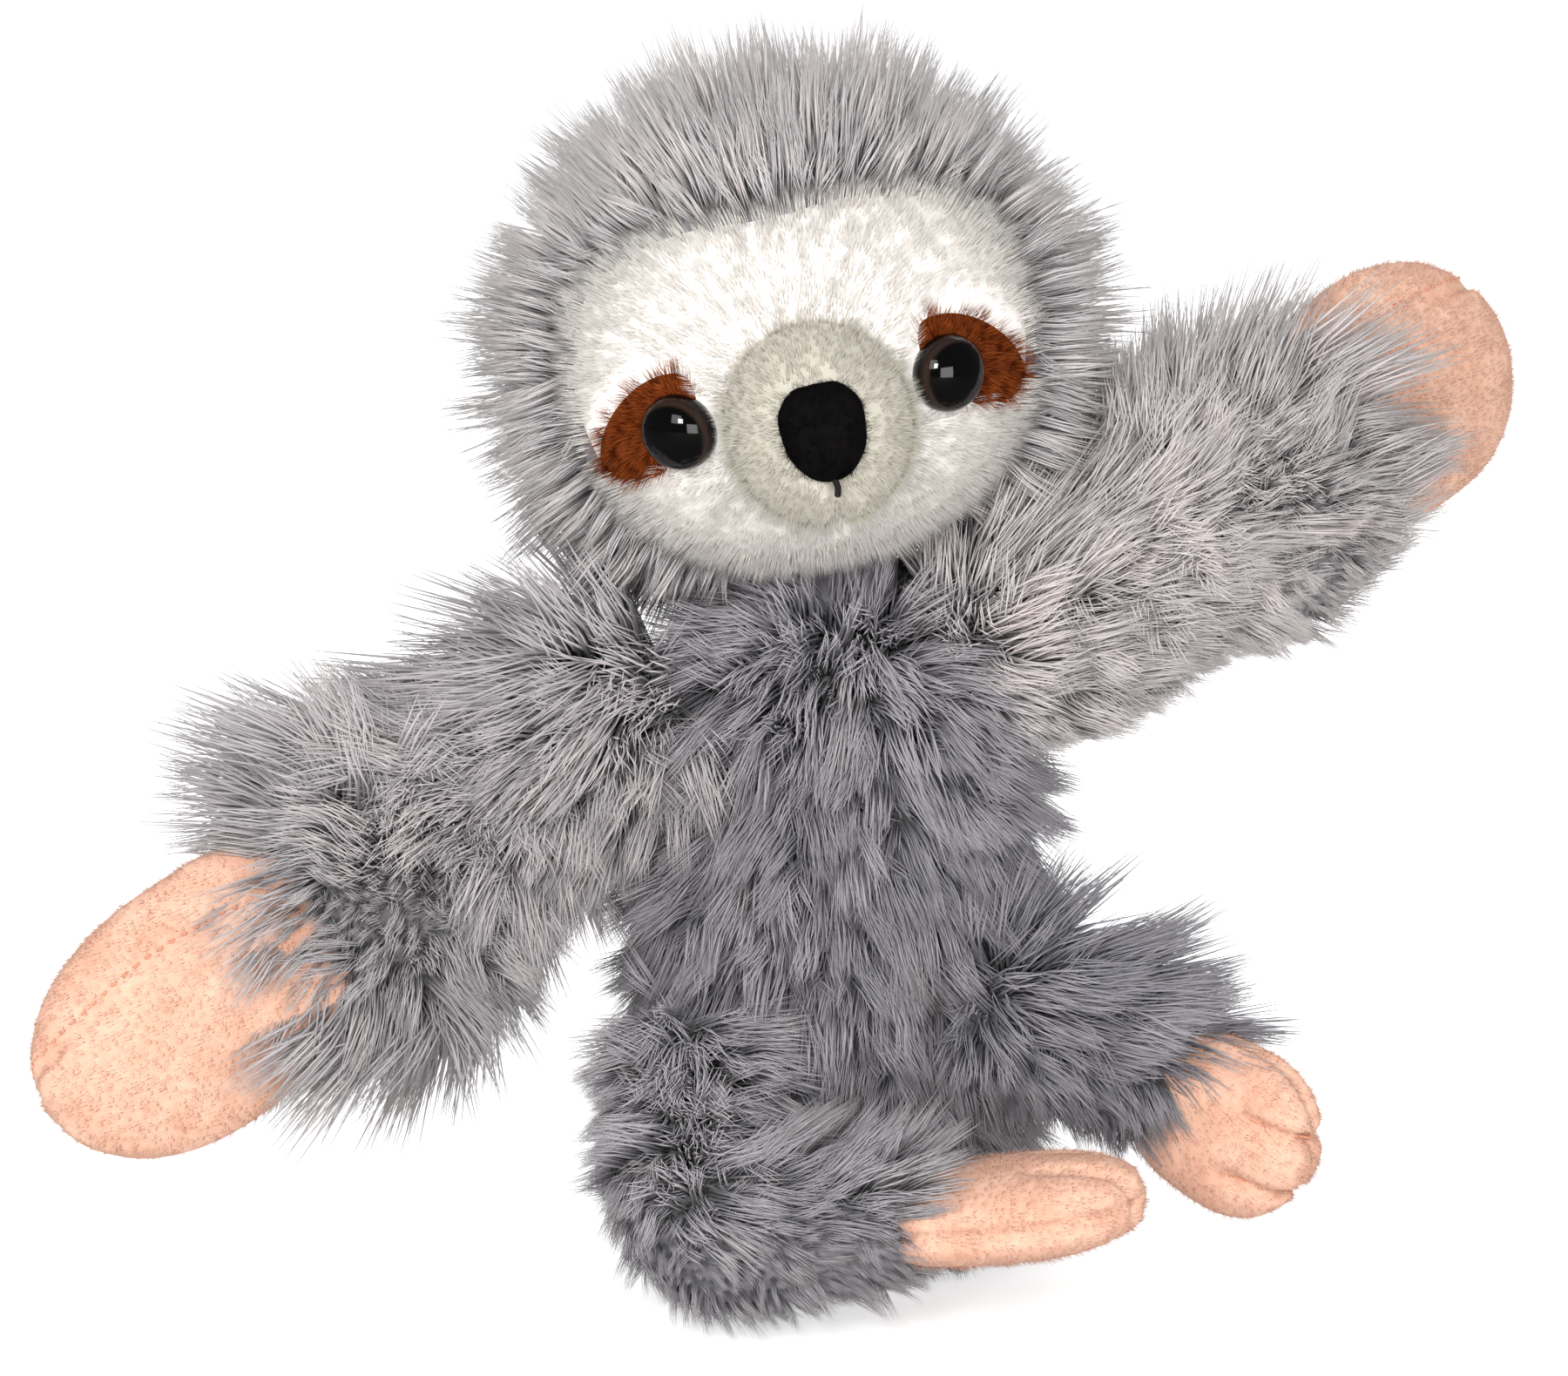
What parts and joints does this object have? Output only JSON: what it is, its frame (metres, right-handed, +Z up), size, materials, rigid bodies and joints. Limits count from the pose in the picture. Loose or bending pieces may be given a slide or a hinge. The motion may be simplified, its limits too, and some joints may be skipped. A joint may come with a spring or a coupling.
{
  "type": "plush sloth",
  "caption": "Seated long-pile plush sloth with spread arms that curl on an inner spring band, velour hands and feet, and a short-napped face.",
  "frame": {"origin": "centre of the bounding box at the surface it sits on", "axes": "+Z up, the face looks towards -Y, +X towards the raised left arm"},
  "size_m": [0.2378, 0.1074, 0.1929],
  "materials": {
    "long_grey_plush": "long clumped pile",
    "white_plush": "short dense nap",
    "muzzle_plush": "short nap",
    "brown_plush": "short nap",
    "peach_velour": "velour",
    "black_felt": "felt",
    "eye_plastic": "clear glossy dome",
    "washer_plastic": "moulded",
    "fibre_filling": "polyester fibre",
    "pellet_cloth": "woven bag of plastic pellets",
    "spring_steel": "thin sprung strip",
    "peach_thread": "sewing thread",
    "black_thread": "sewing thread"
  },
  "bodies": {
    "torso": {"torso_skin": "long_grey_plush", "torso_filling": "fibre_filling", "pellet_bag": "pellet_cloth", "chest_band": "spring_steel"},
    "neck": {"neck_gather": "long_grey_plush"},
    "head": {"head_skin": "long_grey_plush", "face_panel": "white_plush", "head_filling": "fibre_filling", "muzzle_panel": "muzzle_plush", "muzzle_filling": "fibre_filling", "nose": "black_felt", "mouth_stitch": "black_thread", "right_eye_patch": "brown_plush", "right_eye": "eye_plastic", "right_eye_washer": "washer_plastic", "left_eye_patch": "brown_plush", "left_eye": "eye_plastic", "left_eye_washer": "washer_plastic"},
    "right_upper_arm": {"right_upper_arm_skin": "long_grey_plush", "right_upper_arm_filling": "fibre_filling", "right_upper_arm_band": "spring_steel"},
    "right_forearm": {"right_forearm_skin": "long_grey_plush", "right_forearm_filling": "fibre_filling", "right_forearm_band": "spring_steel"},
    "right_hand": {"right_hand_palm": "peach_velour", "right_hand_back": "peach_velour", "right_hand_seam_thread": "peach_thread", "right_hand_filling": "fibre_filling", "right_hand_band": "spring_steel"},
    "right_leg": {"right_leg_skin": "long_grey_plush", "right_leg_filling": "fibre_filling", "right_foot_top": "peach_velour", "right_foot_sole": "peach_velour", "right_foot_filling": "fibre_filling", "right_foot_toe_thread_1": "peach_thread", "right_foot_toe_thread_2": "peach_thread"},
    "left_upper_arm": {"left_upper_arm_skin": "long_grey_plush", "left_upper_arm_filling": "fibre_filling", "left_upper_arm_band": "spring_steel"},
    "left_forearm": {"left_forearm_skin": "long_grey_plush", "left_forearm_filling": "fibre_filling", "left_forearm_band": "spring_steel"},
    "left_hand": {"left_hand_palm": "peach_velour", "left_hand_back": "peach_velour", "left_hand_seam_thread": "peach_thread", "left_hand_filling": "fibre_filling", "left_hand_band": "spring_steel"},
    "left_leg": {"left_leg_skin": "long_grey_plush", "left_leg_filling": "fibre_filling", "left_foot_top": "peach_velour", "left_foot_sole": "peach_velour", "left_foot_filling": "fibre_filling", "left_foot_toe_thread_1": "peach_thread", "left_foot_toe_thread_2": "peach_thread"}
  },
  "joints": [
    {"name": "head_nod", "type": "hinge", "parent": "torso", "child": "neck", "pos_m": [0.00833, 0.00416, 0.112], "axis": [1, 0, 0], "range_deg": [-8, 10], "stiffness_Nm_per_rad": 0.35},
    {"name": "head_turn", "type": "hinge", "parent": "neck", "child": "head", "pos_m": [0.00833, 0.00416, 0.112], "axis": [0, 0, 1], "range_deg": [-20, 20], "stiffness_Nm_per_rad": 0.05},
    {"name": "right_shoulder", "type": "hinge", "parent": "torso", "child": "right_upper_arm", "pos_m": [-0.02744, 0.00416, 0.08494], "axis": [-0.515, 0, 0.8572], "range_deg": [0, 24]},
    {"name": "right_elbow", "type": "hinge", "parent": "right_upper_arm", "child": "right_forearm", "pos_m": [-0.04897, -0.00257, 0.072], "axis": [-0.515, 0, 0.8572], "range_deg": [0, 42]},
    {"name": "right_wrist", "type": "hinge", "parent": "right_forearm", "child": "right_hand", "pos_m": [-0.06963, -0.01231, 0.05958], "axis": [-0.515, 0, 0.8572], "range_deg": [0, 42]},
    {"name": "left_shoulder", "type": "hinge", "parent": "torso", "child": "left_upper_arm", "pos_m": [0.03843, 0.00516, 0.10006], "axis": [0.515, 0, -0.8572], "range_deg": [0, 40]},
    {"name": "left_elbow", "type": "hinge", "parent": "left_upper_arm", "child": "left_forearm", "pos_m": [0.06066, 0.00697, 0.11342], "axis": [0.515, 0, -0.8572], "range_deg": [0, 40]},
    {"name": "left_wrist", "type": "hinge", "parent": "left_forearm", "child": "left_hand", "pos_m": [0.08261, 0.01149, 0.12661], "axis": [0.515, 0, -0.8572], "range_deg": [0, 80]},
    {"name": "right_hip", "type": "hinge", "parent": "torso", "child": "right_leg", "pos_m": [-0.01667, -0.01184, 0.033], "axis": [0, 0, -1], "range_deg": [0, 30]},
    {"name": "left_hip", "type": "hinge", "parent": "torso", "child": "left_leg", "pos_m": [0.03633, -0.00684, 0.042], "axis": [0, 0, -1], "range_deg": [-10, 20]}
  ],
  "couplings": [
    {"joint": "right_elbow", "follows": "right_shoulder", "ratio": 1.75},
    {"joint": "right_wrist", "follows": "right_shoulder", "ratio": 1.75},
    {"joint": "left_elbow", "follows": "left_shoulder", "ratio": 1},
    {"joint": "left_wrist", "follows": "left_shoulder", "ratio": 2}
  ]
}
